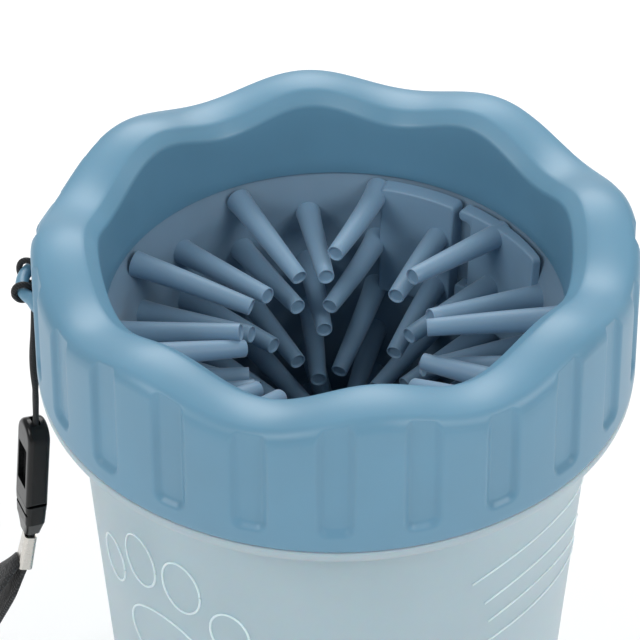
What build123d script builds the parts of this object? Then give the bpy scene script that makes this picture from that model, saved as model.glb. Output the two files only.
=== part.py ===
"""Paw washer cup: a translucent tumbler with a screw collar, a silicone bristle insert and a wrist lanyard.

Millimetres, +Z up. The origin is the centre of the cup's flat underside. The lanyard lug points along -X.
"""

from build123d import *
import math
import os

# ---- Driving dimensions ----
# Cup
SEAT_Z = 122.0  # top of the cup's flange, where the collar's lower edge rests
CUP_TOP_RADIUS = 50.2  # outside, right under the flange
CUP_DRAFT = 1.6  # degrees, each side
CUP_WALL = 2.0
CUP_FLOOR = 2.5
FLANGE_RADIUS = 56.9
FLANGE_THICK = 2.3
FLANGE_GAP = 0.2  # between the flange and the collar's lower edge
NECK_RADIUS = 51.4
NECK_BORE = 48.6
NECK_HEIGHT = 6.9  # above SEAT_Z

# Screw thread, two starts
THREAD_LEAD = 10.0
THREAD_STARTS = 2
THREAD_DEPTH = 1.5
THREAD_HALF = 0.9  # half of a ridge's height at its root
THREAD_SWEEP = 150.0  # degrees, each ridge
CUP_THREAD_Z = 1.3  # middle of the cup's ridges at their lower end, above SEAT_Z
COLLAR_THREAD_Z = 1.1
THREAD_MESH_DROP = 2.3  # the collar's ridge runs this far under the cup's

# Collar, heights above SEAT_Z
COLLAR_RADIUS = 57.0
COLLAR_DRAFT = 3.2
COLLAR_BORE = 43.3
SKIRT_WALL = 2.3
OUTER_WALL_BORE = 53.4
ROOF_UNDERSIDE = 20.0
# The rim's section: radius, mean height, and half of the wave's height from crest to trough. It climbs over a bevel
# from the bore to a crease, crowns, and falls over the shoulder to the wall.
RIM_BORE = (43.3, 23.6, 2.0)
RIM_CREASE = (45.6, 25.6, 2.0)
RIM_CROWN = (49.8, 26.4, 1.95)
RIM_SHOULDER = (53.6, 25.8, 1.85)
RIM_EDGE = (55.5, 24.0, 1.8)
WAVES = 8
WAVE_CREST = 7.2  # degrees from +X to the first crest
FLUTES = 24
FLUTE_CUTTER = 6.0
FLUTE_DEPTH = 1.1
FLUTE_FOOT_Z = 3.7
RIBS = 12
RIB_THICK = 1.4

# Clamp ring and silicone insert, heights above SEAT_Z
CLAMP_Z = 9.1
CLAMP_THICK = 1.1
CLAMP_BORE = 46.2
LIP_Z = 9.0
LIP_RADIUS = 50.9
LIP_THICK = 2.0
PLUG_RADIUS = 48.2
PLUG_DEPTH = 5.0
SLEEVE_BORE = 42.0
SLEEVE_WALL = 2.0
SLEEVE_DEPTH = 82.0  # from SEAT_Z down to the sleeve's open end
SLEEVE_DRAFT = 1.7

# Bristles
ROWS = 14
ROW_PITCH = 6.0
FIRST_ROW_Z = 6.3
PER_ROW = 9
FIRST_BRISTLE = -2.0  # degrees from +X
BRISTLE_LENGTH = 25.0
BRISTLE_ROOT_RADIUS = 2.5
BRISTLE_TIP_RADIUS = 1.7
BRISTLE_HOLE_RADIUS = 1.35
BRISTLE_HOLE_DEPTH = 0.6
BRISTLE_DROOP = 3.0  # degrees below level
BRISTLE_BURIED = 1.0  # root inside the sleeve's wall

# Closure pads where the two ends of the insert's sheet meet
PAD_BOTTOM_Z = -17.0
LEFT_PAD = (53.4, 76.5)  # degrees from +X
LEFT_PAD_THICK = 3.6
LEFT_PAD_TOP = 8.9
RIGHT_PAD = (19.5, 50.2)
RIGHT_PAD_THICK = 2.4  # in its middle; it is thicker beside the left pad
RIGHT_PAD_TAPER = 2.4  # the shift of its inner cylinder
RIGHT_PAD_TOP = 8.9
NOTCH_ANGLE = 46.4
NOTCH_Z = (-9.5, 6.4)

# Lanyard
LUG_Z = 14.2  # above SEAT_Z
LUG_REACH = 58.7  # from the cup's axis to the middle of the lug's bar
LUG_FOOT = (55.0, 6.8)  # where the bar enters the wall: outwards, sideways
LUG_BAR_RADIUS = 1.2
CORD_RADIUS = 0.6
CORD_TOP_X = -57.0  # where the strands leave the hitch, between the lug's bar and the wall
BUCKLE_X = -59.85
BUCKLE_TURN = 26.0  # degrees, the buckle's broad faces turned about the vertical
BUCKLE_TOP_Z = 101.5
BUCKLE_LEAN = 8.0  # degrees outwards at the foot
BUCKLE_WIDTH = 7.6
BUCKLE_THICK = 4.6
BUCKLE_ROUNDING = 1.0
HOUSING_LENGTH = 20.0
BLOCK_LENGTH = 8.7
TONGUE_LENGTH = 13.0
TONGUE_WIDTH = 4.0
TONGUE_THICK = 2.6
WINDOW_WIDTH = 4.6
SOCKET_THICK = 3.0
SOCKET_DEPTH = 14.0
CROSSBAR = 4.2  # height of the bridge across the socket's mouth
CRIMP_LENGTH = 8.6
CRIMP_LEAN = 14.3
STRAP_TURN = 15.0  # degrees, the crimp and strap turned about the vertical
STRAP_WIDTH = 8.0
STRAP_THICK = 1.2

# The strap's route: outwards from the crimp's upper end, and up. It goes out over the lower layer and comes back
# over the upper one.
STRAP_ROUTE = [
    (1.6, 64.2), (5.6, 57.2), (13.5, 43.8), (23.5, 28.5), (37.0, 12.5), (52.7, 2.6), (70.7, 0.9),
    (88.7, 1.0), (101.7, 1.8), (109.7, 4.8), (110.7, 9.6), (102.7, 12.2), (87.7, 8.4), (70.7, 7.2),
    (54.7, 9.6), (41.5, 18.0), (29.5, 33.0), (19.0, 47.5), (9.0, 59.2), (3.2, 64.8),
]


def polar(radius, angle, z=0.0):
    """The point at that radius and angle, in degrees from +X."""
    return Vector(radius * math.cos(math.radians(angle)), radius * math.sin(math.radians(angle)), z)


def ring(inner, outer, low, high):
    """A plain ring about the cup's axis, heights above SEAT_Z."""
    size = high - low
    tube = Cylinder(outer, size, align=(Align.CENTER, Align.CENTER, Align.MIN))
    tube -= Cylinder(inner, size, align=(Align.CENTER, Align.CENTER, Align.MIN))
    return Pos(0, 0, SEAT_Z + low) * tube


def spin(points):
    """The solid that a closed outline of (radius, z) points makes about the cup's axis."""
    outline = make_face(Polyline(*[(r, 0, z) for r, z in points], close=True))
    return revolve(outline, Axis.Z)


def thread(radius, low_z, start_angle, inward):
    """One screw ridge on a wall of that radius; it points inwards on the collar, outwards on the cup."""
    turn = THREAD_SWEEP / 360
    path = Helix(pitch=THREAD_LEAD, height=THREAD_LEAD * turn, radius=radius)
    side = -1 if inward else 1
    root = -0.3 * side  # sunk into the wall
    crest = THREAD_DEPTH * side
    section = Polygon(
        (root, -THREAD_HALF), (crest, -THREAD_HALF / 3), (crest, THREAD_HALF / 3), (root, THREAD_HALF),
        align=None,
    )
    plane = Plane(origin=path @ 0, x_dir=(1, 0, 0), z_dir=path % 0)
    ridge = sweep(plane * section, path=path, is_frenet=True)
    return Pos(0, 0, SEAT_Z + low_z) * Rot(0, 0, start_angle) * ridge


def cup_body():
    """The tumbler: drafted wall, wide flange, and the threaded neck above it."""
    taper = math.tan(math.radians(CUP_DRAFT))
    under = SEAT_Z - FLANGE_GAP - FLANGE_THICK
    base = CUP_TOP_RADIUS - under * taper
    inside_foot = base - CUP_WALL + CUP_FLOOR * taper
    inside_top = CUP_TOP_RADIUS - CUP_WALL
    neck_top = SEAT_Z + NECK_HEIGHT
    seat = SEAT_Z - FLANGE_GAP
    body = spin([
        (0, 0), (base - 2.0, 0), (base - 0.5, 0.6), (base + 0.05, 2.2), (CUP_TOP_RADIUS, under),
        (FLANGE_RADIUS - 0.5, under), (FLANGE_RADIUS, under + 0.5), (FLANGE_RADIUS, seat - 0.4),
        (FLANGE_RADIUS - 0.4, seat), (NECK_RADIUS, seat), (NECK_RADIUS, neck_top - 0.4),
        (NECK_RADIUS - 0.4, neck_top), (NECK_BORE + 0.4, neck_top), (NECK_BORE, neck_top - 0.4),
        (NECK_BORE, seat - 1.0), (inside_top, under - 2.0), (inside_foot, CUP_FLOOR + 2.5),
        (inside_foot - 2.5, CUP_FLOOR), (0, CUP_FLOOR),
    ])
    for start in range(THREAD_STARTS):
        body += thread(NECK_RADIUS, CUP_THREAD_Z, 360 / THREAD_STARTS * start, inward=False)
    return body


def wave_line(radius, height, swing):
    """A closed wavy line round the axis, at a height above SEAT_Z."""
    steps = WAVES * 8
    points = []
    for i in range(steps):
        angle = 360 / steps * i
        lift = swing * math.cos(math.radians(WAVES * (angle - WAVE_CREST)))
        points.append(polar(radius, angle, SEAT_Z + height + lift))
    return Edge.make_spline(points, periodic=True)


def beyond(start, end, radius):
    """The point at that radius on the line of the rim's section from one point through another."""
    share = (radius - start[0]) / (end[0] - start[0])
    return radius, start[1] + share * (end[1] - start[1]), end[2]


def rim_cutter():
    """Everything above the collar's wavy, crowned rim."""
    inner, outer, top = 40.0, 60.0, 40.0
    section = [
        beyond(RIM_CREASE, RIM_BORE, inner), RIM_CREASE, RIM_CROWN, RIM_SHOULDER,
        beyond(RIM_SHOULDER, RIM_EDGE, outer), (outer, top, 0), (inner, top, 0),
    ]
    loops = [wave_line(*point) for point in section]
    faces = []
    for first, second in zip(loops, loops[1:] + loops[:1]):
        faces.append(Face.make_surface_from_curves(first, second))
    return Solid(Shell(faces))


def flute_cutters():
    """Round-bottomed grip flutes, tilted with the collar's draft."""
    centre = COLLAR_RADIUS + FLUTE_CUTTER - FLUTE_DEPTH
    foot = SEAT_Z + FLUTE_FOOT_Z + FLUTE_CUTTER * 0.53
    cutter = Cylinder(FLUTE_CUTTER, 40, align=(Align.CENTER, Align.CENTER, Align.MIN))
    cutter += Sphere(FLUTE_CUTTER)
    cutters = []
    for i in range(FLUTES):
        angle = -90 + 360 / FLUTES * i
        cutters.append(Rot(0, 0, angle) * Pos(centre, 0, foot) * Rot(0, -COLLAR_DRAFT, 0) * cutter)
    return cutters


def lug():
    """The round bar that the lanyard is hitched to; it stands out of the collar's wall as a bow."""
    z = SEAT_Z + LUG_Z
    foot, side = LUG_FOOT
    bow = ThreePointArc((-foot, side, z), (-LUG_REACH, 0, z), (-foot, -side, z))
    section = Plane(origin=bow @ 0, z_dir=bow % 0) * Circle(LUG_BAR_RADIUS)
    return sweep(section, path=bow)


def collar():
    """The screw collar: fluted outer wall, wavy rim, inner skirt, roof ribs, thread and lug."""
    slope = math.tan(math.radians(COLLAR_DRAFT))
    high = SEAT_Z + RIM_CROWN[1] + RIM_CROWN[2] + 3
    roof = SEAT_Z + ROOF_UNDERSIDE
    skirt = COLLAR_BORE + SKIRT_WALL
    skirt_foot = SEAT_Z + CLAMP_Z
    body = spin([
        (COLLAR_BORE, skirt_foot), (skirt, skirt_foot), (skirt, roof), (OUTER_WALL_BORE, roof),
        (OUTER_WALL_BORE, SEAT_Z), (COLLAR_RADIUS - 0.4, SEAT_Z), (COLLAR_RADIUS, SEAT_Z + 0.5),
        (COLLAR_RADIUS - (high - SEAT_Z) * slope, high), (COLLAR_BORE, high),
    ])
    body -= flute_cutters()
    body -= rim_cutter()
    body += lug()
    rib_foot = CLAMP_Z + CLAMP_THICK + 0.1
    rib_height = ROOF_UNDERSIDE - rib_foot + 0.5
    rib = Box(OUTER_WALL_BORE - skirt + 1.0, RIB_THICK, rib_height, align=(Align.MIN, Align.CENTER, Align.MIN))
    for i in range(RIBS):
        body += Rot(0, 0, 360 / RIBS * (i + 0.5)) * Pos(skirt - 0.5, 0, SEAT_Z + rib_foot) * rib
    lag = (CUP_THREAD_Z - THREAD_MESH_DROP - COLLAR_THREAD_Z) / THREAD_LEAD * 360
    for start in range(THREAD_STARTS):
        angle = 360 / THREAD_STARTS * start - lag
        body += thread(OUTER_WALL_BORE, COLLAR_THREAD_Z, angle, inward=True)
    return body


def sleeve_bore(z):
    """The sleeve's inside radius at a height above SEAT_Z."""
    return SLEEVE_BORE - max(0.0, -z) * math.tan(math.radians(SLEEVE_DRAFT))


def bristle_sleeve():
    """The silicone insert: a lip clamped on the neck, a plug ring in it, and a long open sleeve."""
    foot = sleeve_bore(-SLEEVE_DEPTH)
    top = SEAT_Z + LIP_Z
    lip_low = SEAT_Z + NECK_HEIGHT + 0.1
    plug_low = lip_low - PLUG_DEPTH
    sleeve_out = SLEEVE_BORE + SLEEVE_WALL
    return spin([
        (SLEEVE_BORE, top), (LIP_RADIUS, top), (LIP_RADIUS, lip_low), (PLUG_RADIUS, lip_low),
        (PLUG_RADIUS, plug_low + 1.0), (PLUG_RADIUS - 1.0, plug_low), (sleeve_out, plug_low - 1.5),
        (sleeve_out, SEAT_Z - 3), (foot + SLEEVE_WALL, SEAT_Z - SLEEVE_DEPTH),
        (foot, SEAT_Z - SLEEVE_DEPTH), (SLEEVE_BORE, SEAT_Z),
    ])


def bristle():
    """One tapered bristle along +X with its hollow tip at the far end."""
    length = BRISTLE_LENGTH + BRISTLE_BURIED
    root, tip, hole = BRISTLE_ROOT_RADIUS, BRISTLE_TIP_RADIUS, BRISTLE_HOLE_RADIUS
    outline = make_face(Polyline(
        (0, 0, 0), (0, 0, root), (length - 0.3, 0, tip + 0.02), (length, 0, tip - 0.25), (length, 0, hole),
        (length - BRISTLE_HOLE_DEPTH, 0, hole), (length - BRISTLE_HOLE_DEPTH, 0, 0), close=True,
    ))
    return revolve(outline, Axis.X)


def bristle_row(row):
    """One ring of bristles; every second ring is turned by half a spacing."""
    z = FIRST_ROW_Z - ROW_PITCH * row
    spacing = 360 / PER_ROW
    shape = bristle()
    group = []
    for i in range(PER_ROW):
        angle = FIRST_BRISTLE + spacing * (i + 0.5 * (row % 2))
        root = Pos(sleeve_bore(z) + BRISTLE_BURIED, 0, SEAT_Z + z)
        group.append(Rot(0, 0, angle) * root * Rot(0, 180 - BRISTLE_DROOP, 0) * shape)
    return Compound(children=group)


def pad(angles, thick, top, taper=0.0, notch=None):
    """A raised closure pad on the sleeve's inside, between two angles; a taper thins its right end."""
    low, high = angles
    middle, half = (low + high) / 2, math.radians(high - low) / 2
    outer = SLEEVE_BORE + 0.4
    height = top - PAD_BOTTOM_Z
    block = ring(outer - thick - 2, outer, PAD_BOTTOM_Z, top)
    inside = Cylinder(outer - thick, 2 * height)
    block -= Rot(0, 0, middle - 90) * Pos(taper, 0, SEAT_Z + (PAD_BOTTOM_Z + top) / 2) * inside
    width = 2 * outer * math.sin(half)
    window = Rectangle(height, width)
    if notch:
        notch_low, notch_high = notch
        depth = width * (high - NOTCH_ANGLE) / (high - low)
        cut_z = (notch_low + notch_high) / 2 - (top + PAD_BOTTOM_Z) / 2
        window -= Pos(-cut_z, width / 2 - depth / 2) * Rectangle(notch_high - notch_low, depth)
    window = fillet(window.vertices(), 1.0)
    place = Rot(0, 0, middle) * Pos(0, 0, SEAT_Z + (top + PAD_BOTTOM_Z) / 2) * Rot(0, 90, 0)
    return block & (place * extrude(window, SLEEVE_BORE + 5))


def buckle_frame(drop=0.0):
    """A place on the buckle's own line, that far below its top: -Z runs down it and +X outwards."""
    return Pos(BUCKLE_X, 0, BUCKLE_TOP_Z) * Rot(0, 0, 180 + BUCKLE_TURN) * Rot(0, -BUCKLE_LEAN, 0) * Pos(0, 0, -drop)


def lanyard_hitch():
    """Two turns of cord round the lug's bar."""
    turn = Rot(90, 0, 0) * Torus(LUG_BAR_RADIUS + CORD_RADIUS + 0.05, CORD_RADIUS)
    middle = Pos(-LUG_REACH, 0, SEAT_Z + LUG_Z)
    return Compound(children=[middle * Pos(0, y, 0) * turn for y in (-0.9, 0.9)])


def lanyard_cord():
    """The two strands from the hitch into the hole in the buckle's top."""
    top = Vector(CORD_TOP_X, 0, SEAT_Z + LUG_Z - LUG_BAR_RADIUS - 1.5 * CORD_RADIUS)
    foot = Vector(BUCKLE_X, 0, BUCKLE_TOP_Z - 2.5)
    line = Plane(origin=foot, x_dir=(0, 1, 0), z_dir=top - foot)
    strand = Cylinder(CORD_RADIUS, (top - foot).length, align=(Align.CENTER, Align.CENTER, Align.MIN))
    return Compound(children=[line * Pos(x, 0, 0) * strand for x in (-0.65, 0.65)])


def buckle_housing():
    """The upper half of the buckle: an arch with a window, and a socket open at the foot."""
    half = BUCKLE_WIDTH / 2
    face = Rectangle(HOUSING_LENGTH - half, BUCKLE_WIDTH, align=(Align.MAX, Align.CENTER))
    arch = Pos(-half, 0) * face + Pos(-half, 0) * Circle(half)
    body = Rot(0, -90, 0) * extrude(arch, BUCKLE_THICK / 2, both=True)
    body = fillet(body.edges().filter_by(Plane.YZ), BUCKLE_ROUNDING)
    foot = Pos(0, 0, -HOUSING_LENGTH)
    body -= foot * Box(SOCKET_THICK, WINDOW_WIDTH, 2 * SOCKET_DEPTH)
    window_height = SOCKET_DEPTH - CROSSBAR
    body -= foot * Pos(0, 0, CROSSBAR + window_height / 2) * Box(BUCKLE_THICK + 2, WINDOW_WIDTH, window_height)
    body -= Box(1.6, 3.0, 6.0)
    return buckle_frame() * body


def buckle_plug():
    """The lower half: a tongue that slides into the socket, and a tapered grip block with grooves."""
    joint = Plane.XY
    block = loft([
        joint * RectangleRounded(BUCKLE_THICK, BUCKLE_WIDTH, BUCKLE_ROUNDING),
        joint.offset(-5.0) * RectangleRounded(BUCKLE_THICK - 0.4, BUCKLE_WIDTH - 0.6, BUCKLE_ROUNDING),
    ])
    block += loft([
        joint.offset(-5.0) * RectangleRounded(BUCKLE_THICK - 0.4, BUCKLE_WIDTH - 0.6, BUCKLE_ROUNDING),
        joint.offset(-BLOCK_LENGTH) * RectangleRounded(3.4, 4.2, BUCKLE_ROUNDING),
    ])
    for side in (-1, 1):
        block -= Pos(side * BUCKLE_THICK / 2, 0, -2.2) * Box(0.7, BUCKLE_WIDTH + 1, 0.8)
    block -= Pos(0, 0, -BLOCK_LENGTH) * Box(1.6, 3.0, 4.0)
    tongue = Box(TONGUE_THICK, TONGUE_WIDTH, TONGUE_LENGTH, align=(Align.CENTER, Align.CENTER, Align.MIN))
    tongue = chamfer(tongue.faces().sort_by(Axis.Z)[-1].edges(), 0.5)
    plug = block + tongue
    return buckle_frame(HOUSING_LENGTH + 0.1) * plug


def strap_frame(lean=0.0):
    """The crimp's upper end, 1.3 below the buckle: -Z runs down, +X outwards, leaning outwards at the foot."""
    top = buckle_frame(HOUSING_LENGTH + BLOCK_LENGTH + 1.3).position
    return Pos(*top) * Rot(0, 0, 180 + STRAP_TURN) * Rot(0, -lean, 0)


def plug_cord():
    """The short doubled cord between the buckle and the crimp."""
    strand = Cylinder(CORD_RADIUS, 3.6, align=(Align.CENTER, Align.CENTER, Align.MAX))
    top = buckle_frame(HOUSING_LENGTH + BLOCK_LENGTH - 1.8)
    return Compound(children=[top * Pos(0, y, 0) * strand for y in (-0.65, 0.65)])


def cord_crimp():
    """The folded metal clip that joins the cord to the strap."""
    shell = loft([
        Plane.XY * RectangleRounded(2.6, 3.8, 0.8),
        Plane.XY.offset(-CRIMP_LENGTH) * RectangleRounded(3.0, 4.6, 0.8),
    ])
    shell -= Box(1.6, 2.8, 3.0)
    shell -= Pos(0, 0, -CRIMP_LENGTH) * Box(2.0, 3.6, 3.0)
    return strap_frame(CRIMP_LEAN) * shell


def strap_radii(points):
    """As large an arc at each corner as its two runs allow."""
    radii = []
    for before, corner, after in zip(points, points[1:], points[2:]):
        first, second = Vector(*corner) - Vector(*before), Vector(*after) - Vector(*corner)
        half_turn = math.radians(first.get_angle(second)) / 2
        radii.append(0.45 * min(first.length, second.length) / math.tan(half_turn))
    return radii


def wrist_strap():
    """The flat strap as one loop: down to the surface, out, folded over and back to the crimp."""
    points = [(out, 0, z) for out, z in STRAP_ROUTE]
    radii = strap_radii(points)
    path = FilletPolyline(*points, radius=radii)
    section = Plane(origin=path @ 0, x_dir=(0, 1, 0), z_dir=path % 0) * Rectangle(STRAP_WIDTH, STRAP_THICK)
    strap = sweep(section, path=path)
    print("strap length", round(path.length, 1), "radii", [round(r, 1) for r in radii])
    print("strap volume", round(strap.volume, 1), "section x length",
          round(STRAP_WIDTH * STRAP_THICK * path.length, 1))
    place = strap_frame()
    return Pos(0, 0, -place.position.Z) * place * strap


def clamp_ring():
    """The loose ring between the collar's ribs and the silicone lip."""
    return ring(CLAMP_BORE, LIP_RADIUS, CLAMP_Z, CLAMP_Z + CLAMP_THICK)


nodes = {
    "cup_body": cup_body(),
    "collar": collar(),
    "clamp_ring": clamp_ring(),
    "bristle_sleeve": bristle_sleeve(),
    "closure_pad_left": pad(LEFT_PAD, LEFT_PAD_THICK, LEFT_PAD_TOP),
    "closure_pad_right": pad(RIGHT_PAD, RIGHT_PAD_THICK, RIGHT_PAD_TOP, RIGHT_PAD_TAPER, NOTCH_Z),
    "lanyard_hitch": lanyard_hitch(),
    "lanyard_cord": lanyard_cord(),
    "buckle_housing": buckle_housing(),
    "buckle_plug": buckle_plug(),
    "plug_cord": plug_cord(),
    "cord_crimp": cord_crimp(),
    "wrist_strap": wrist_strap(),
}
for row in range(ROWS):
    nodes[f"bristle_row_{row + 1:02d}"] = bristle_row(row)

os.makedirs("parts", exist_ok=True)
for name, shape in nodes.items():
    export_step(shape, f"parts/{name}.step")
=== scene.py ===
"""The looks of the paw washer cup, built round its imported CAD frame.

Everything is in metres, in the part's own frame: +Z up, the centre of the cup's underside at the origin, the
lanyard's lug along -X. Shape values are written in millimetres and turned into metres by MM.
"""

import math
import random

import bmesh
import bpy
from mathutils import Matrix, Vector


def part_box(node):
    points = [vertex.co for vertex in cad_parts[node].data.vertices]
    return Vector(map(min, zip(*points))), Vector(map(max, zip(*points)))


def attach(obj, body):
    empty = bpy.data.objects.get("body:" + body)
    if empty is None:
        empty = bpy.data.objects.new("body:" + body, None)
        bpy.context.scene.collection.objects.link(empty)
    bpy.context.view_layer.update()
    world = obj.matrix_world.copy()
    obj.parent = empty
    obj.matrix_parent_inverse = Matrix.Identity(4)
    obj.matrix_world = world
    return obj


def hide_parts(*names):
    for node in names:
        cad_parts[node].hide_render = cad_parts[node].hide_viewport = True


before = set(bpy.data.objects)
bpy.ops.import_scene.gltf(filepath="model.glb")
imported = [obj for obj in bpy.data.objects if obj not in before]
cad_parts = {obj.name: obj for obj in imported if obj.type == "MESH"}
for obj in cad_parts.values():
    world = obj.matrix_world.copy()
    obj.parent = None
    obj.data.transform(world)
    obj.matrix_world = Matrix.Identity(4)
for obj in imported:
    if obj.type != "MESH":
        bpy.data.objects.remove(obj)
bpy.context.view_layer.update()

MM = 0.001
SEED = 7

# ---- Places and sizes taken from the frame ----
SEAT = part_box("collar")[0][2] / MM  # the plane that the collar's lower edge lies in
CUP_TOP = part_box("cup_body")[1][2] / MM  # the neck's top
LIP_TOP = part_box("bristle_sleeve")[1][2] / MM
SLEEVE_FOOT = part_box("bristle_sleeve")[0][2] / MM
LIP_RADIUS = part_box("bristle_sleeve")[1][0] / MM
COLLAR_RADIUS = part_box("collar")[1][0] / MM
FLANGE_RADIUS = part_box("cup_body")[1][0] / MM
CLAMP_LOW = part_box("clamp_ring")[0][2] / MM
LUG_X = -58.7
LUG_Z = SEAT + 14.2
LUG_RADIUS = 1.2

# ---- Camera: the photograph's viewing angle ----
CAMERA_ELEVATION = 39.3  # degrees
CAMERA_DISTANCE = 360.8 * MM
CAMERA_LENS = 105.8
CAMERA_SENSOR = 36
CAMERA_SHIFT = (-0.025, 0.031)


# ---------------------------------------------------------------- helpers


def smooth(t):
    """0 below 0, 1 above 1, and an even S between."""
    t = min(1.0, max(0.0, t))
    return t * t * (3 - 2 * t)


def bezier(a, b, c, steps):
    """Points of a quadratic curve from a to c, bent towards b, both ends included."""
    points = []
    for i in range(steps + 1):
        t = i / steps
        shares = (1 - t) ** 2, 2 * t * (1 - t), t * t
        points.append(tuple(shares[0] * p + shares[1] * q + shares[2] * r for p, q, r in zip(a, b, c)))
    return points


def rounded(corners, steps=4):
    """A closed outline with its corners rounded; each corner is (radius, z, size of its rounding)."""
    outline = []
    count = len(corners)
    for i, (r, z, size) in enumerate(corners):
        here = Vector((r, z))
        before = Vector(corners[i - 1][:2]) - here
        after = Vector(corners[(i + 1) % count][:2]) - here
        if size <= 0:
            outline.append((r, z))
            continue
        start = here + before.normalized() * min(size, before.length * 0.49)
        end = here + after.normalized() * min(size, after.length * 0.49)
        outline += bezier(start, here, end, steps)
    return outline


def add_object(name, data, material, body, replaced=()):
    """Puts new geometry in the scene with its material, its body and the CAD nodes that it stands for."""
    thing = bpy.data.objects.new(name, data)
    bpy.context.scene.collection.objects.link(thing)
    if material:
        data.materials.append(material)
    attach(thing, body)
    if replaced:
        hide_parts(*replaced)
    return thing


class Builder:
    """Gathers points in millimetres and faces, and makes one mesh of them."""

    def __init__(self):
        self.points = []
        self.faces = []
        self.uvs = {}

    def sheet(self, rings, wrap_rings=False, wrap_points=True, cap_start=False, cap_end=False):
        """Quads through rings of points, every ring as long as the next."""
        first = len(self.points)
        rows, width = len(rings), len(rings[0])
        for ring in rings:
            self.points += [Vector(p) for p in ring]
        for i in range(rows if wrap_rings else rows - 1):
            for j in range(width if wrap_points else width - 1):
                a = first + i * width + j
                b = first + i * width + (j + 1) % width
                c = first + ((i + 1) % rows) * width + (j + 1) % width
                d = first + ((i + 1) % rows) * width + j
                self.faces.append((a, b, c, d))
        if cap_start:
            self.faces.append(tuple(first + j for j in range(width))[::-1])
        if cap_end:
            last = first + (rows - 1) * width
            self.faces.append(tuple(last + j for j in range(width)))

    def lathe(self, outline, steps):
        """A closed outline of (radius, z) turned about the cup's axis."""
        turns = [2 * math.pi * j / steps for j in range(steps)]
        rings = [[(r * math.cos(t), r * math.sin(t), z) for t in turns] for r, z in outline]
        self.sheet(rings, wrap_rings=True)

    def mesh(self, name, flat_over=None):
        """The mesh, in metres, with its normals outwards; edges sharper than flat_over degrees stay crisp."""
        mesh = bpy.data.meshes.new(name)
        mesh.from_pydata([p * MM for p in self.points], [], self.faces)
        work = bmesh.new()
        work.from_mesh(mesh)
        bmesh.ops.remove_doubles(work, verts=work.verts, dist=1e-6)
        bmesh.ops.recalc_face_normals(work, faces=work.faces)
        work.to_mesh(mesh)
        work.free()
        mesh.shade_smooth()
        if flat_over:
            mesh.set_sharp_from_angle(angle=math.radians(flat_over))
        return mesh


def tube_rings(points, radius, sides):
    """Rings round a line of points, without twist; radius is a number or one number per point."""
    line = [Vector(p) for p in points]
    radii = radius if hasattr(radius, "__len__") else [radius] * len(line)
    rings = []
    normal = None
    for i, here in enumerate(line):
        along = (line[min(i + 1, len(line) - 1)] - line[max(i - 1, 0)]).normalized()
        if normal is None:
            normal = along.orthogonal()
        normal = (normal - along * normal.dot(along)).normalized()
        side = along.cross(normal)
        turns = [2 * math.pi * j / sides for j in range(sides)]
        rings.append([here + (normal * math.cos(t) + side * math.sin(t)) * radii[i] for t in turns])
    return rings


def nurbs_line(name, points_mm, fine=24):
    """A smooth NURBS curve with those control points, in metres, and its own points."""
    curve = bpy.data.curves.new(name, "CURVE")
    curve.dimensions = "3D"
    curve.resolution_u = fine
    spline = curve.splines.new("NURBS")
    spline.points.add(len(points_mm) - 1)
    for point, place in zip(spline.points, points_mm):
        point.co = (*(Vector(place) * MM), 1.0)
    spline.order_u = 3
    spline.use_endpoint_u = True
    return curve


def points_of(curve):
    """The points that a curve with no bevel follows, in metres."""
    holder = bpy.data.objects.new("line", curve)
    bpy.context.scene.collection.objects.link(holder)
    bpy.context.view_layer.update()
    seen = holder.evaluated_get(bpy.context.evaluated_depsgraph_get())
    line = bpy.data.meshes.new_from_object(seen)
    found = [v.co.copy() for v in line.vertices]
    bpy.data.meshes.remove(line)
    bpy.data.objects.remove(holder)
    return found


# ---------------------------------------------------------------- materials


def new_material(name, colour, roughness, **inputs):
    """A Principled material; further inputs are set on the shader's own sockets."""
    material = bpy.data.materials.new(name)
    material.use_nodes = True
    shader = material.node_tree.nodes["Principled BSDF"]
    shader.inputs["Base Color"].default_value = (*colour, 1.0)
    shader.inputs["Roughness"].default_value = roughness
    for key, value in inputs.items():
        shader.inputs[key.replace("_", " ")].default_value = value
    return material, material.node_tree, shader


def texture(tree, kind, scale, coordinates="Object", **settings):
    """A texture node on object coordinates (metres), with its scale and further inputs."""
    place = tree.nodes.new("ShaderNodeTexCoord")
    node = tree.nodes.new(kind)
    tree.links.new(place.outputs[coordinates], node.inputs["Vector"])
    node.inputs["Scale"].default_value = scale
    for key, value in settings.items():
        node.inputs[key.replace("_", " ")].default_value = value
    return node


def ramp(tree, source, low, high, start=0.3, end=0.7):
    """Maps a texture's value onto a range between two colours."""
    node = tree.nodes.new("ShaderNodeValToRGB")
    node.color_ramp.elements[0].position = start
    node.color_ramp.elements[1].position = end
    node.color_ramp.elements[0].color = (*low, 1)
    node.color_ramp.elements[1].color = (*high, 1)
    tree.links.new(source, node.inputs["Fac"])
    return node.outputs["Color"]


def bump(tree, shader, height, strength, distance):
    """A bump of that many metres at most, on the shader's normal."""
    node = tree.nodes.new("ShaderNodeBump")
    node.inputs["Strength"].default_value = strength
    node.inputs["Distance"].default_value = distance
    tree.links.new(height, node.inputs["Height"])
    tree.links.new(node.outputs["Normal"], shader.inputs["Normal"])


def between(colour, share):
    """A colour made darker or lighter by a share."""
    return tuple(min(1.0, c * share) for c in colour)


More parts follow.
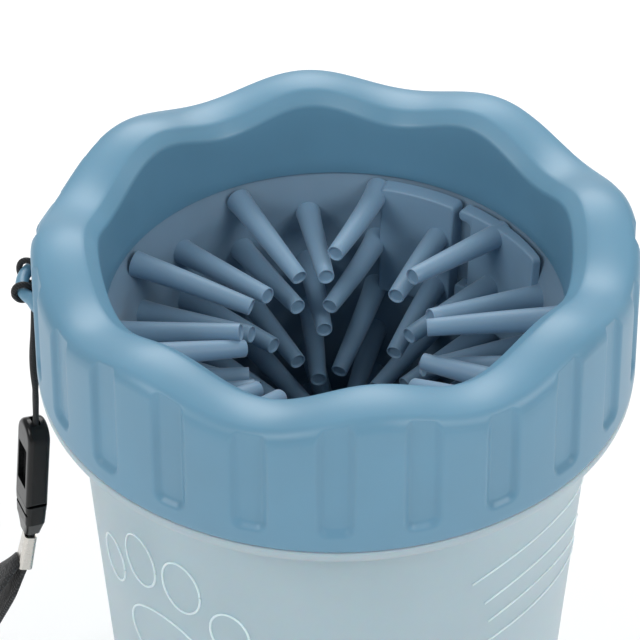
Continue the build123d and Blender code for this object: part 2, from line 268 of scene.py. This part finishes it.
def moulded(name, colour, roughness, grain=2200, depth=0.00002, spread=0.05, **inputs):
    """Moulded plastic or silicone: a fine skin grain, and colour and gloss that vary a little."""
    material, tree, shader = new_material(name, colour, roughness, **inputs)
    cloud = texture(tree, "ShaderNodeTexNoise", 45, Detail=3.0)
    tint = ramp(tree, cloud.outputs["Fac"], between(colour, 1 - spread), between(colour, 1 + spread))
    tree.links.new(tint, shader.inputs["Base Color"])
    low, high = roughness - 0.05, roughness + 0.06
    gloss = ramp(tree, cloud.outputs["Fac"], (low,) * 3, (high,) * 3)
    tree.links.new(gloss, shader.inputs["Roughness"])
    skin = texture(tree, "ShaderNodeTexNoise", grain, Detail=2.0)
    bump(tree, shader, skin.outputs["Fac"], 0.25, depth)
    return material


COLLAR_BLUE = (0.122, 0.280, 0.405)
SILICONE_BLUE = (0.165, 0.265, 0.365)
# The sleeve's silicone made lighter for the bristles and pads: painted light for the light that falls on
# them. They are the same silicone as the sleeve.
SILICONE_PAINTED_LIT_BLUE = (0.185, 0.310, 0.435)
CUP_GREY = (0.440, 0.580, 0.645)

collar_plastic = moulded(
    "collar_plastic", COLLAR_BLUE, 0.40, Subsurface_Weight=0.08, Subsurface_Scale=0.003, IOR=1.52,
)
silicone = moulded(
    "silicone", SILICONE_BLUE, 0.52, grain=3000, spread=0.07,
    Subsurface_Weight=0.15, Subsurface_Scale=0.002, Sheen_Weight=0.25, Sheen_Roughness=0.4,
)
# A lit copy of the silicone material for the bristles and pads: painted light.
silicone_painted_lit = moulded(
    "silicone_painted_lit", SILICONE_PAINTED_LIT_BLUE, 0.48, grain=3000, spread=0.07,
    Subsurface_Weight=0.12, Subsurface_Scale=0.002, Sheen_Weight=0.25, Sheen_Roughness=0.4,
)
cup_plastic = moulded(
    "cup_plastic", CUP_GREY, 0.40, grain=900, spread=0.03, Transmission_Weight=0.18, IOR=1.49,
    Subsurface_Weight=0.3, Subsurface_Scale=0.006,
)
# The cup's raised lines in a paler colour than the cup: painted highlight for the light that the raised lines
# catch.
relief_painted_highlight = moulded(
    "relief_painted_highlight", (0.72, 0.82, 0.85), 0.30, spread=0.03, Subsurface_Weight=0.3, Subsurface_Scale=0.003,
)
clamp_plastic = moulded("clamp_plastic", COLLAR_BLUE, 0.4)
buckle_plastic = moulded(
    "buckle_plastic", (0.006, 0.0065, 0.007), 0.24, grain=1500, depth=0.00001, spread=0.3,
    Specular_IOR_Level=0.28,
)


def woven(name, colour, across, along, roughness=0.75):
    """Woven webbing on UV coordinates, in threads across the width and along the length."""
    material, tree, shader = new_material(name, colour, roughness, Sheen_Weight=0.2, Sheen_Roughness=0.5)
    place = tree.nodes.new("ShaderNodeTexCoord")
    heights = []
    for axis, count in (("X", across), ("Y", along)):
        wave = tree.nodes.new("ShaderNodeTexWave")
        wave.bands_direction = axis
        wave.inputs["Scale"].default_value = count / 2
        wave.inputs["Distortion"].default_value = 0.4
        wave.inputs["Detail Scale"].default_value = 3.0
        tree.links.new(place.outputs["UV"], wave.inputs["Vector"])
        heights.append(wave.outputs["Fac"])
    weave = tree.nodes.new("ShaderNodeMath")
    weave.operation = "MULTIPLY"
    for socket, height in zip(weave.inputs, heights):
        tree.links.new(height, socket)
    tint = ramp(tree, weave.outputs["Value"], between(colour, 0.45), between(colour, 1.7), 0.0, 0.8)
    tree.links.new(tint, shader.inputs["Base Color"])
    bump(tree, shader, weave.outputs["Value"], 0.8, 0.00025)
    return material


def braided(name, colour):
    """Fine braided cord: one diagonal wave and fine cells."""
    material, tree, shader = new_material(name, colour, 0.6, Sheen_Weight=0.1, Specular_IOR_Level=0.25)
    one = texture(tree, "ShaderNodeTexWave", 900, Distortion=1.0)
    one.bands_direction = "DIAGONAL"
    cells = texture(tree, "ShaderNodeTexVoronoi", 2600)
    mixed = tree.nodes.new("ShaderNodeMath")
    mixed.operation = "ADD"
    tree.links.new(one.outputs["Fac"], mixed.inputs[0])
    tree.links.new(cells.outputs["Distance"], mixed.inputs[1])
    tint = ramp(tree, mixed.outputs["Value"], between(colour, 0.5), between(colour, 2.0), 0.2, 1.2)
    tree.links.new(tint, shader.inputs["Base Color"])
    bump(tree, shader, mixed.outputs["Value"], 0.6, 0.00015)
    return material


def plated_metal(name):
    """Nickel-plated folded sheet with fine scratches."""
    colour = (0.62, 0.60, 0.56)
    material, tree, shader = new_material(name, colour, 0.28, Metallic=1.0)
    scratches = texture(tree, "ShaderNodeTexNoise", 900, Detail=5.0)
    gloss = ramp(tree, scratches.outputs["Fac"], (0.18,) * 3, (0.42,) * 3)
    tree.links.new(gloss, shader.inputs["Roughness"])
    bump(tree, shader, scratches.outputs["Fac"], 0.3, 0.00004)
    return material


cord_black = braided("cord_black", (0.010, 0.011, 0.012))
strap_weave = woven("strap_weave", (0.022, 0.024, 0.026), 10, 260)
crimp_metal = plated_metal("crimp_metal")


# ---------------------------------------------------------------- stage


def stage():
    """A pale floor, soft studio light and the camera."""
    scene = bpy.context.scene
    scene.view_settings.view_transform = "Standard"
    world = bpy.data.worlds.new("studio")
    world.use_nodes = True
    world.node_tree.nodes["Background"].inputs["Color"].default_value = (1.0, 1.0, 1.0, 1)
    world.node_tree.nodes["Background"].inputs["Strength"].default_value = 0.45
    scene.world = world

    floor_mesh = bpy.data.meshes.new("floor")
    floor_mesh.from_pydata([(-3, -3, 0), (3, -3, 0), (3, 3, 0), (-3, 3, 0)], [], [(0, 1, 2, 3)])
    floor = bpy.data.objects.new("floor", floor_mesh)
    scene.collection.objects.link(floor)
    paper, _, _ = new_material("pale_paper", (1.0, 1.0, 1.0), 0.9)
    floor_mesh.materials.append(paper)

    lights = [
        ("front_left", (-0.78, -0.58, 0.86), 0.60, 4.9),
        ("front_right", (0.76, -0.58, 0.86), 0.60, 4.9),
        ("back", (0.0, 0.85, 0.86), 0.90, 8.0),
    ]
    for name, place, size, power in lights:
        lamp = bpy.data.lights.new(name, "AREA")
        lamp.shape = "DISK"
        lamp.size = size
        lamp.energy = power
        light = bpy.data.objects.new(name, lamp)
        light.location = place
        aim = Vector((0, 0, SEAT * MM)) - light.location
        light.rotation_euler = aim.to_track_quat("-Z", "Y").to_euler()
        scene.collection.objects.link(light)

    lens = bpy.data.cameras.new("camera")
    lens.lens = CAMERA_LENS
    lens.sensor_width = CAMERA_SENSOR
    lens.shift_x, lens.shift_y = CAMERA_SHIFT
    lens.clip_start = 0.01
    camera = bpy.data.objects.new("camera", lens)
    rise = math.radians(CAMERA_ELEVATION)
    back = Vector((0, -math.cos(rise), math.sin(rise))) * CAMERA_DISTANCE
    camera.location = Vector((0, 0, SEAT * MM)) + back
    camera.rotation_euler = (math.pi / 2 - rise, 0, 0)
    scene.collection.objects.link(camera)
    scene.camera = camera


stage()


# ---------------------------------------------------------------- lanyard

CORD_TOP_X = -57.0
CORD_RADIUS = 0.6
BUCKLE_TOP = Vector((-59.85, 0, 101.5))
BUCKLE_TURN = 26.0  # degrees
BUCKLE_LEAN = 8.0  # degrees
BUCKLE_LENGTH = 28.7
CRIMP_DROP = 30.0
PLUG_CORD_LENGTH = 3.4
PLUG_CORD_APART = 0.65  # from the lanyard's line, to each side
STRAP_TURN = 15.0
STRAP_WIDTH = 8.0
STRAP_THICK = 1.2

# Outwards from the crimp's upper end, and up; the route of the CAD strap.
STRAP_ROUTE = [
    (1.6, 64.2), (5.6, 57.2), (13.5, 43.8), (23.5, 28.5), (37.0, 12.5), (52.7, 2.6), (70.7, 0.9),
    (88.7, 1.0), (101.7, 1.8), (109.7, 4.8), (110.7, 9.6), (102.7, 12.2), (87.7, 8.4), (70.7, 7.2),
    (54.7, 9.6), (41.5, 18.0), (29.5, 33.0), (19.0, 47.5), (9.0, 59.2), (3.2, 64.8),
]

# Round the lug's bar, from its middle: outwards, along the bar, up. Half of the hitch; the rest mirrors it.
HITCH_HALF = [
    (-1.7, -0.64, -6.0), (-1.7, -1.2, -3.6), (-1.9, -2.3, -1.2), (-2.3, -3.2, 0.9), (-1.2, -3.7, 2.2),
    (0.7, -3.9, 1.7), (1.2, -3.7, -0.6), (0.0, -3.1, -2.3), (-1.6, -2.0, -2.3), (-2.0, -0.8, -1.9),
]
# Down the lanyard: the share of the way to the buckle, and the strands' turn about each other in degrees.
STRANDS = [(0.0, 90), (0.18, 80), (0.36, 35), (0.52, 50), (0.68, 105), (0.85, 100), (1.0, 90)]


def turned(place, turn, lean=0.0):
    """The matrix of a place on the lanyard, in millimetres: -Z runs down it and +X outwards."""
    about = Matrix.Rotation(math.radians(180 + turn), 4, "Z")
    return Matrix.Translation(place) @ about @ Matrix.Rotation(math.radians(-lean), 4, "Y")


BUCKLE_PLACE = turned(BUCKLE_TOP, BUCKLE_TURN, BUCKLE_LEAN)
CRIMP_TOP = BUCKLE_PLACE @ Vector((0, 0, -CRIMP_DROP))


def beveled(curve):
    """Gives a cord's curve its thickness."""
    curve.bevel_depth = CORD_RADIUS * MM
    curve.bevel_resolution = 4
    curve.use_fill_caps = True
    return curve


def hitch():
    """The doubled cord's bight, hitched round the lug's bar."""
    half = [Vector((LUG_X - x, y, LUG_Z + z)) for x, y, z in HITCH_HALF]
    other = [Vector((p.x, -p.y, p.z)) for p in reversed(half)]
    curve = beveled(nurbs_line("hitch", half + other, 10))
    return add_object("hitch", curve, cord_black, "collar", ["lanyard_hitch"])


def strands(knot):
    """The two strands from the hitch to the buckle, twisted a little about each other."""
    top = Vector((CORD_TOP_X, 0, LUG_Z - 5.8))
    foot = BUCKLE_TOP - Vector((0, 0, 2.2))
    for side, name in ((1, "strand_front"), (-1, "strand_back")):
        points = []
        for share, turn in STRANDS:
            reach = side * (CORD_RADIUS + 0.04)
            off = Vector((math.cos(math.radians(turn)), math.sin(math.radians(turn)), 0)) * reach
            points.append(top.lerp(foot, share) + off)
        curve = beveled(nurbs_line(name, points, 8))
        strand = add_object(name, curve, cord_black, "collar", ["lanyard_cord"])


def plug_cords():
    """The short doubled cord out of the buckle's foot."""
    work = Builder()
    start = BUCKLE_LENGTH - 1.5
    steps = 6
    for side in (-PLUG_CORD_APART, PLUG_CORD_APART):
        drops = [start + PLUG_CORD_LENGTH * step / steps for step in range(steps + 1)]
        line = [BUCKLE_PLACE @ Vector((0, side, -drop)) for drop in drops]
        work.sheet(tube_rings(line, CORD_RADIUS, 14), cap_start=True, cap_end=True)
    return add_object("plug_cords", work.mesh("plug_cords"), cord_black, "lanyard_end", ["plug_cord"])


def strap(short_cords):
    """The wrist strap: one flat loop with rounded edges, gathered where the crimp holds it."""
    place = turned(Vector((CRIMP_TOP.x, CRIMP_TOP.y, 0)), STRAP_TURN)
    route = [place @ Vector((out, 0, z)) for out, z in STRAP_ROUTE]
    line = [p / MM for p in points_of(nurbs_line("strap_line", route, 10))]
    across = place.to_3x3() @ Vector((0, 1, 0))
    total = sum((b - a).length for a, b in zip(line, line[1:]))
    work = Builder()
    rings, uvs, run = [], [], 0.0
    for i, here in enumerate(line):
        along = (line[min(i + 1, len(line) - 1)] - line[max(i - 1, 0)]).normalized()
        up = along.cross(across).normalized()
        if i:
            run += (here - line[i - 1]).length
        end = min(run, total - run)
        width = STRAP_WIDTH * (0.5 + 0.5 * smooth(end / 9))
        half, thick = width / 2, STRAP_THICK / 2
        crown = 0.25 * (1 - smooth(end / 14))
        section = [
            (-half, 0), (-half + 0.25, 0.75 * thick), (-half + 0.9, thick), (-half / 2, thick * 0.93 + crown),
            (0, thick + crown * 2), (half / 2, thick * 0.93 + crown), (half - 0.9, thick),
            (half - 0.25, 0.75 * thick), (half, 0),
        ]
        section += [(x, -y) for x, y in section[-2:0:-1]]
        rings.append([here + across * x + up * y for x, y in section])
        uvs.append([(x / STRAP_WIDTH + 0.5, run / total) for x, y in section])
    work.sheet(rings, cap_start=True, cap_end=True)
    mesh = work.mesh("strap")
    layer = mesh.uv_layers.new(name="weave")
    uv_at = {}
    for ring, row in zip(rings, uvs):
        for p, uv in zip(ring, row):
            uv_at[tuple(round(c * MM, 7) for c in p)] = uv
    for loop in mesh.loops:
        spot = tuple(round(c, 7) for c in mesh.vertices[loop.vertex_index].co)
        layer.data[loop.index].uv = uv_at.get(spot, (0.5, 0.5))
    piece = add_object("strap", mesh, strap_weave, "lanyard_end", ["wrist_strap"])


strands(hitch())
strap(plug_cords())


# ---------------------------------------------------------------- collar

COLLAR_BORE = 43.3
SKIRT_OUT = 45.6
WALL_BORE = 53.4
ROOF = 20.0
WALL_DRAFT = math.tan(math.radians(3.2))
# The rim's section, as in the CAD: radius and mean height over the seat.
RIM_CREASE = (45.6, 25.6)
RIM_SHOULDER = (53.4, 25.95)
RIM_EDGE = (55.5, 24.0)
WAVES = 8
WAVE_CREST = math.radians(7.2)
FLUTES = 24
FLUTE_HALF = 3.55
FLUTE_FOOT = 3.3
FLUTE_CORNER = 2.4
FLUTE_DEPTH = 1.0
FLUTE_RAMP = 1.5
STEPS_PER_FLUTE = 40
RIBS = 12
RIB_THICK = 1.4
RIB_FOOT = 10.3
THREAD_STARTS = 2
COLLAR_THREAD_LOW = 1.1
COLLAR_THREAD_START = 75.6  # degrees, so that the collar's ridges lie under the cup's


def flute_depth(side, z):
    """How deep a flute is, at a distance along the wall from its middle and a height over the seat."""
    beside = max(abs(side) - (FLUTE_HALF - FLUTE_CORNER), 0.0)
    below = max(FLUTE_FOOT + FLUTE_CORNER - z, 0.0)
    inside = FLUTE_CORNER - math.hypot(beside, below)
    return FLUTE_DEPTH * smooth(inside / FLUTE_RAMP)


def rim_section():
    """The rim from the wall over its edge and crown to the bore, as (radius, mean height)."""
    edge_r, edge_z = RIM_EDGE
    crease_r, crease_z = RIM_CREASE
    points = bezier((COLLAR_RADIUS - 23.2 * WALL_DRAFT, 23.2), RIM_EDGE, (edge_r - 0.25, edge_z + 0.5), 4)
    points += bezier(points[-1], (edge_r - 0.9, edge_z + 1.6), RIM_SHOULDER, 9)[1:]
    points += bezier(RIM_SHOULDER, (49.6, 27.0), (crease_r + 0.3, crease_z + 0.2), 10)[1:]
    points += bezier(points[-1], RIM_CREASE, (crease_r - 0.25, crease_z - 0.22), 3)[1:]
    points += [(44.6, 24.72), (43.7, 23.95)]
    points += bezier(points[-1], (COLLAR_BORE, 23.6), (COLLAR_BORE, 22.9), 3)[1:]
    return points


RIM = rim_section()


def collar_section(angle):
    """The collar's closed section at an angle, as (radius, height over the seat)."""
    wave = math.cos(WAVES * (angle - WAVE_CREST))
    spacing = 2 * math.pi / FLUTES
    off = (angle + math.pi / 2 + spacing / 2) % spacing - spacing / 2
    side = off * COLLAR_RADIUS
    points = bezier((WALL_BORE, 0.5), (WALL_BORE, 0), (WALL_BORE + 0.5, 0), 2)
    outside = bezier((COLLAR_RADIUS - 0.7, 0), (COLLAR_RADIUS, 0), (COLLAR_RADIUS - 0.04, 0.7), 4)
    heights = [1.5] + [2.3 + 0.3 * k for k in range(16)]
    top = RIM[0][1] + 1.8 * wave
    heights += [7.6 + (top - 7.6) * k / 9 for k in range(1, 9)]
    outside += [(COLLAR_RADIUS - z * WALL_DRAFT, z) for z in heights]
    outside += [(r, z + (2.0 - 0.2 * smooth((r - 45) / 10)) * wave) for r, z in RIM]
    points += [(min(r, COLLAR_RADIUS - z * WALL_DRAFT - flute_depth(side, z)), z) for r, z in outside]
    foot = CLAMP_LOW - SEAT
    bore_z = points[-1][1]
    points += [(COLLAR_BORE, bore_z + (foot + 0.5 - bore_z) * k / 5) for k in range(1, 5)]
    points += bezier((COLLAR_BORE, foot + 0.3), (COLLAR_BORE, foot), (COLLAR_BORE + 0.3, foot), 2)
    points += bezier((SKIRT_OUT - 0.3, foot), (SKIRT_OUT, foot), (SKIRT_OUT, foot + 0.3), 2)
    points += bezier((SKIRT_OUT, ROOF - 1.0), (SKIRT_OUT, ROOF), (SKIRT_OUT + 1.0, ROOF), 3)
    points += bezier((WALL_BORE - 1.0, ROOF), (WALL_BORE, ROOF), (WALL_BORE, ROOF - 1.0), 3)
    return points


def thread_rings(radius, low, start, inward, lead=10.0, sweep=150.0):
    """Rings of a screw ridge's section, in millimetres, tapered at both ends."""
    out = -1 if inward else 1
    rings = []
    steps = 60
    for i in range(steps + 1):
        share = i / steps
        turn = math.radians(start + sweep * share)
        z = SEAT + low + lead * sweep / 360 * share
        grow = smooth(min(share, 1 - share) * 14)
        crest = radius + out * (0.05 + 1.4 * grow)
        root = radius - out * 0.25
        section = [(root, -0.9), (crest - out * 0.25, -0.42), (crest, -0.2), (crest, 0.2),
                   (crest - out * 0.25, 0.42), (root, 0.9)]
        rings.append([(r * math.cos(turn), r * math.sin(turn), z + dz) for r, dz in section])
    return rings


def rib_rings(angle, inner, outer, low, high, thick):
    """A radial rib as four-point rings from its foot to its top."""
    out = Vector((math.cos(angle), math.sin(angle), 0))
    side = Vector((-math.sin(angle), math.cos(angle), 0)) * thick / 2
    rings = []
    for z, shrink in ((low, 0.75), (low + 0.3, 1.0), (high, 1.0)):
        lift = Vector((0, 0, SEAT + z))
        rings.append([
            out * inner + side * shrink + lift, out * outer + side * shrink + lift,
            out * outer - side * shrink + lift, out * inner - side * shrink + lift,
        ])
    return rings


def lug_rings():
    """The round bar bowed out of the wall, flared where it meets it."""
    line, radii = [], []
    steps = 36
    for i in range(steps + 1):
        share = i / steps * 2 - 1
        x = LUG_X + 4.6 * abs(share) ** 2.4
        line.append((x, 7.2 * share, LUG_Z))
        radii.append(LUG_RADIUS + 0.9 * smooth((abs(share) - 0.72) / 0.28))
    return tube_rings(line, radii, 24)


def collar():
    """The blue screw collar, with its inside: thread, ribs and skirt."""
    steps = FLUTES * STEPS_PER_FLUTE
    sections = [collar_section(2 * math.pi * j / steps) for j in range(steps)]
    rings = []
    for i in range(len(sections[0])):
        ring = []
        for j, section in enumerate(sections):
            r, z = section[i]
            turn = 2 * math.pi * j / steps
            ring.append((r * math.cos(turn), r * math.sin(turn), SEAT + z))
        rings.append(ring)
    work = Builder()
    work.sheet(rings, wrap_rings=True)
    work.sheet(lug_rings(), cap_start=True, cap_end=True)
    for k in range(RIBS):
        angle = math.radians(360 / RIBS * (k + 0.5))
        rib = rib_rings(angle, SKIRT_OUT - 0.4, WALL_BORE + 0.4, RIB_FOOT, ROOF + 0.4, RIB_THICK)
        work.sheet(rib, cap_start=True, cap_end=True)
    for k in range(THREAD_STARTS):
        start = 360 / THREAD_STARTS * k + COLLAR_THREAD_START
        ridge = thread_rings(WALL_BORE, COLLAR_THREAD_LOW, start, True)
        work.sheet(ridge, cap_start=True, cap_end=True)
    mesh = work.mesh("collar_shell", flat_over=50)
    return add_object("collar_shell", mesh, collar_plastic, "collar", ["collar"])


collar()


# ---------------------------------------------------------------- cup

CUP_DRAFT = math.tan(math.radians(1.6))
FLANGE_LOW = SEAT - 2.5
CUP_TOP_RADIUS = 50.2
CUP_FLOOR = 2.5
RELIEF_RADIUS = 0.26
CUP_THREAD_LOW = 1.3
NECK_RADIUS = 51.4
NECK_BORE = 48.6
BASE_RADIUS = CUP_TOP_RADIUS - FLANGE_LOW * CUP_DRAFT


def cup_radius(z):
    """The tumbler's outside radius at a height."""
    return BASE_RADIUS + z * CUP_DRAFT


def on_cup(turn, beside, z):
    """A point on the cup's outside: round from an angle in degrees by a distance, and at a height."""
    angle = math.radians(turn) + beside / cup_radius(z)
    return Vector((cup_radius(z) * math.cos(angle), cup_radius(z) * math.sin(angle), z))


def oval(turn, middle, height, wide, high, start=0, sweep=360):
    """A raised oval line, or part of one, on the cup."""
    steps = max(12, round(sweep / 7))
    line = []
    for i in range(steps + 1):
        a = math.radians(start + sweep * i / steps)
        line.append(on_cup(turn, middle + wide * math.cos(a), height + high * math.sin(a)))
    return line


def paw_print():
    """A raised paw print, a generic mark, on the front left."""
    turn, height = 228.5, 83
    lines = [oval(turn, 0, height - 7, 10.5, 8.5)]
    for beside, up, wide, high in ((-15.5, 5.5, 4.0, 5.6), (-5.4, 13.0, 4.4, 6.4)):
        lines.append(oval(turn, beside, height + up, wide, high))
        lines.append(oval(turn, -beside, height + up, wide, high))
    return lines


def fan():
    """Four raised arches, one under the other, on the front right."""
    sizes = [(42, 32), (33, 24.5), (29.5, 18.3), (29, 12)]
    return [oval(318, 0, 70, wide, high, 8, 104) for wide, high in sizes]


def cup():
    """The translucent tumbler with its flange and threaded neck."""
    seat = SEAT - 0.2
    outline = rounded([
        (0.01, 0, 0), (BASE_RADIUS, 0, 2.0), (CUP_TOP_RADIUS, FLANGE_LOW, 0.8),
        (FLANGE_RADIUS, FLANGE_LOW, 1.1), (FLANGE_RADIUS, seat, 0.5), (NECK_RADIUS, seat, 0.4),
        (NECK_RADIUS, CUP_TOP, 0.6), (NECK_BORE, CUP_TOP, 0.6), (NECK_BORE, seat - 1.0, 1.0),
        (CUP_TOP_RADIUS - 2, FLANGE_LOW - 2, 1.5), (BASE_RADIUS - 1.9, CUP_FLOOR, 3.0), (0.01, CUP_FLOOR, 0),
    ], 5)
    work = Builder()
    work.lathe(outline, 360)
    for k in range(THREAD_STARTS):
        ridge = thread_rings(NECK_RADIUS, CUP_THREAD_LOW, 360 / THREAD_STARTS * k, False)
        work.sheet(ridge, cap_start=True, cap_end=True)
    add_object("cup_shell", work.mesh("cup_shell", flat_over=50), cup_plastic, "cup", ["cup_body"])
    relief = Builder()
    for line in paw_print() + fan():
        relief.sheet(tube_rings(line, RELIEF_RADIUS, 8), cap_start=True, cap_end=True)
    add_object("cup_relief", relief.mesh("cup_relief"), relief_painted_highlight, "cup", ())


cup()


# ---------------------------------------------------------------- silicone insert

SLEEVE_BORE = 42.0
SLEEVE_DRAFT = math.tan(math.radians(1.7))
SLEEVE_WALL = 2.0
PLUG_RADIUS = 48.2
PLUG_DEPTH = 5.0
ROWS = sum(name.startswith("bristle_row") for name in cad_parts)
ROW_PITCH = 6.0
FIRST_ROW = SEAT + 6.3
PER_ROW = 9
FIRST_BRISTLE = -2.0
BRISTLE_LENGTH = 24.6
ROOT_RADIUS = 2.5
TIP_RADIUS = 1.68
# Over a bristle's thin rim and into its dimple: along the bristle, and in from the tip's radius.
TIP_RIM = [(0.05, 0.03), (0.09, 0.11), (0.09, 0.2), (0.02, 0.28), (-0.24, 0.33), (-0.32, 0.5), (-0.34, 0.9)]
BRISTLE_SIDES = 28

# The way the upper bristles have come to lie: each one's tip, sideways and up from straight inwards.
LEANS = {
    1: [(1, -2), (1.5, 1.5), (-4, 0.5), (1.4, -4), (0.5, -4), (2, -5.5), (1, -8), (-1, -9), (-1, -8)],
    2: [(3.5, 3.5), (3, 0), (0.5, 1.5), (-0.5, 1.5), (-3, 3.5), (1, -4), (0, -6), (0, -6), (-1.5, -1.5)],
    3: [(-1, -1), (1.5, -1), (-5, -0.5), (0.5, 1.5), (-1, 2.5), (-3.5, 1), (0, -3), (0, -4), (1, -3)],
    4: [(2.5, 2), (3, -2.5), (0, 0.5), (0, 1), (2, 0.5), (1, -2), (0, -3), (-1, -2), (1, 2)],
    5: [(0.5, -1), (1, -2), (-3, -5), (0, 0), (1, -1), (-1, 0.5), (0, -1), (1, -2), (0, 0)],
}


def sleeve_bore(z):
    """The sleeve's inside radius at a height."""
    return SLEEVE_BORE - max(0.0, SEAT - z) * SLEEVE_DRAFT


def sleeve():
    """The insert's lip, plug ring and long sleeve."""
    low = CUP_TOP + 0.1
    foot = sleeve_bore(SLEEVE_FOOT)
    outline = rounded([
        (43.9, LIP_TOP, 0.2), (LIP_RADIUS, LIP_TOP, 0.6), (LIP_RADIUS, low, 0.5),
        (PLUG_RADIUS, low, 0.3), (PLUG_RADIUS, low - PLUG_DEPTH, 1.0),
        (SLEEVE_BORE + SLEEVE_WALL, low - PLUG_DEPTH - 1.5, 1.0), (SLEEVE_BORE + SLEEVE_WALL, SEAT - 3, 1.0),
        (foot + SLEEVE_WALL, SLEEVE_FOOT, 0.6),
        (foot, SLEEVE_FOOT, 0.6), (SLEEVE_BORE, SEAT, 0.5), (SLEEVE_BORE, SEAT + 3, 2.0),
    ], 4)
    work = Builder()
    work.lathe(outline, 240)
    mesh = work.mesh("insert_sleeve", flat_over=60)
    return add_object("insert_sleeve", mesh, silicone, "insert", ["bristle_sleeve"])


def bristle_rings(root, inward, side_lean, rise, length):
    """Rings of one bristle: outside from root to tip, over its thin rim and into its dimpled end."""
    across = Vector((-inward.y, inward.x, 0))
    steps = 12
    straight = math.sqrt(length**2 - side_lean**2 - rise**2)
    line, radii = [], []
    for i in range(steps + 1):
        share = i / steps
        sway = across * side_lean * share**1.3 + Vector((0, 0, rise)) * share**1.2
        line.append(root + inward * (straight * share) + sway)
        flare = 0.15 * math.exp(-share * 20)
        radii.append(ROOT_RADIUS + (TIP_RADIUS - ROOT_RADIUS) * share + flare)
    rings = tube_rings(line, radii, BRISTLE_SIDES)
    along = (line[-1] - line[-2]).normalized()
    normal = (rings[-1][0] - line[-1]).normalized()
    side = along.cross(normal)
    turns = [2 * math.pi * j / BRISTLE_SIDES for j in range(BRISTLE_SIDES)]
    for out, inset in TIP_RIM:
        centre, radius = line[-1] + along * out, TIP_RADIUS - inset
        rings.append([centre + (normal * math.cos(t) + side * math.sin(t)) * radius for t in turns])
    return rings


def bristles():
    """Rings of bristles, each bristle with a lean of its own."""
    chance = random.Random(SEED)
    for row in range(1, ROWS + 1):
        z = FIRST_ROW - ROW_PITCH * (row - 1)
        work = Builder()
        for k in range(PER_ROW):
            angle = math.radians(FIRST_BRISTLE + 360 / PER_ROW * (k + 0.5 * ((row + 1) % 2)))
            inward = Vector((-math.cos(angle), -math.sin(angle), 0))
            root = -inward * (sleeve_bore(z) + 0.6) + Vector((0, 0, z))
            loose = (chance.uniform(-1.8, 1.8), chance.uniform(-2.5, 0.5))
            side_lean, rise = LEANS[row][k] if row in LEANS else loose
            length = BRISTLE_LENGTH + 0.6 + chance.uniform(-0.4, 0.4)
            work.sheet(bristle_rings(root, inward, side_lean, rise, length), cap_start=True, cap_end=True)
        name = f"bristles_{row:02d}"
        mesh = work.mesh(name, flat_over=60)
        add_object(name, mesh, silicone_painted_lit, "insert", [f"bristle_row_{row:02d}"])


def pad_mesh(outline, thick, taper=0.0):
    """A raised pad that follows the sleeve's curve; its outline is (degrees, height over the seat)."""
    middle = math.radians((outline[0][0] + outline[1][0]) / 2)
    work = bmesh.new()
    corners = [work.verts.new((math.radians(a) * SLEEVE_BORE, z, 0)) for a, z in outline]
    face = work.faces.new(corners)
    grown = bmesh.ops.extrude_face_region(work, geom=[face])
    moved = [v for v in grown["geom"] if isinstance(v, bmesh.types.BMVert)]
    bmesh.ops.translate(work, verts=moved, vec=(0, 0, thick))
    bmesh.ops.recalc_face_normals(work, faces=work.faces)
    uprights = [e for e in work.edges if abs(e.verts[0].co.z - e.verts[1].co.z) > thick * 0.9]
    bmesh.ops.bevel(work, geom=uprights, offset=1.1, segments=5, affect="EDGES", profile=0.5)
    top = [e for e in work.edges if e.verts[0].co.z > thick * 0.9 and e.verts[1].co.z > thick * 0.9]
    bmesh.ops.bevel(work, geom=top, offset=0.45, segments=3, affect="EDGES", profile=0.5)
    for degrees in range(10, 94, 2):
        cut = math.radians(degrees) * SLEEVE_BORE
        geometry = work.verts[:] + work.edges[:] + work.faces[:]
        bmesh.ops.bisect_plane(work, geom=geometry, plane_co=(cut, 0, 0), plane_no=(1, 0, 0))
    for v in work.verts:
        turn, z, height = v.co.x / SLEEVE_BORE, v.co.y, v.co.z
        thinner = taper * math.sin(middle - turn) * height / thick
        radius = sleeve_bore(SEAT + z) + 0.3 - height + thinner
        v.co = Vector((radius * math.cos(turn), radius * math.sin(turn), SEAT + z)) * MM
    bmesh.ops.recalc_face_normals(work, faces=work.faces)
    return work


def closure_pads():
    """The two raised pads at the seam of the insert's sheet; the right one is notched."""
    foot, top, hook = -16.9, 8.9, 8.8
    left = [(52.6, foot), (76.4, foot), (76.4, top), (52.6, top)]
    right = [
        (19.6, foot), (51.2, foot), (51.2, -9.6), (47.0, -9.6),
        (47.0, 6.3), (51.2, 6.3), (51.2, hook), (19.6, hook),
    ]
    pads = [
        ("pad_left", "closure_pad_left", left, 3.4, 0.0),
        ("pad_right", "closure_pad_right", right, 2.3, 2.4),
    ]
    for name, node, outline, thick, taper in pads:
        work = pad_mesh(outline, thick, taper)
        mesh = bpy.data.meshes.new(name)
        work.to_mesh(mesh)
        work.free()
        mesh.shade_smooth()
        mesh.set_sharp_from_angle(angle=math.radians(40))
        add_object(name, mesh, silicone_painted_lit, "insert", [node])


sleeve()
bristles()
closure_pads()


# ---------------------------------------------------------------- CAD pieces that stay


def refinish(node, material):
    """Gives a CAD node a better material."""
    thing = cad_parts[node]
    thing.data.materials.clear()
    thing.data.materials.append(material)


refinish("clamp_ring", clamp_plastic)
refinish("buckle_housing", buckle_plastic)
refinish("buckle_plug", buckle_plastic)
refinish("cord_crimp", crimp_metal)
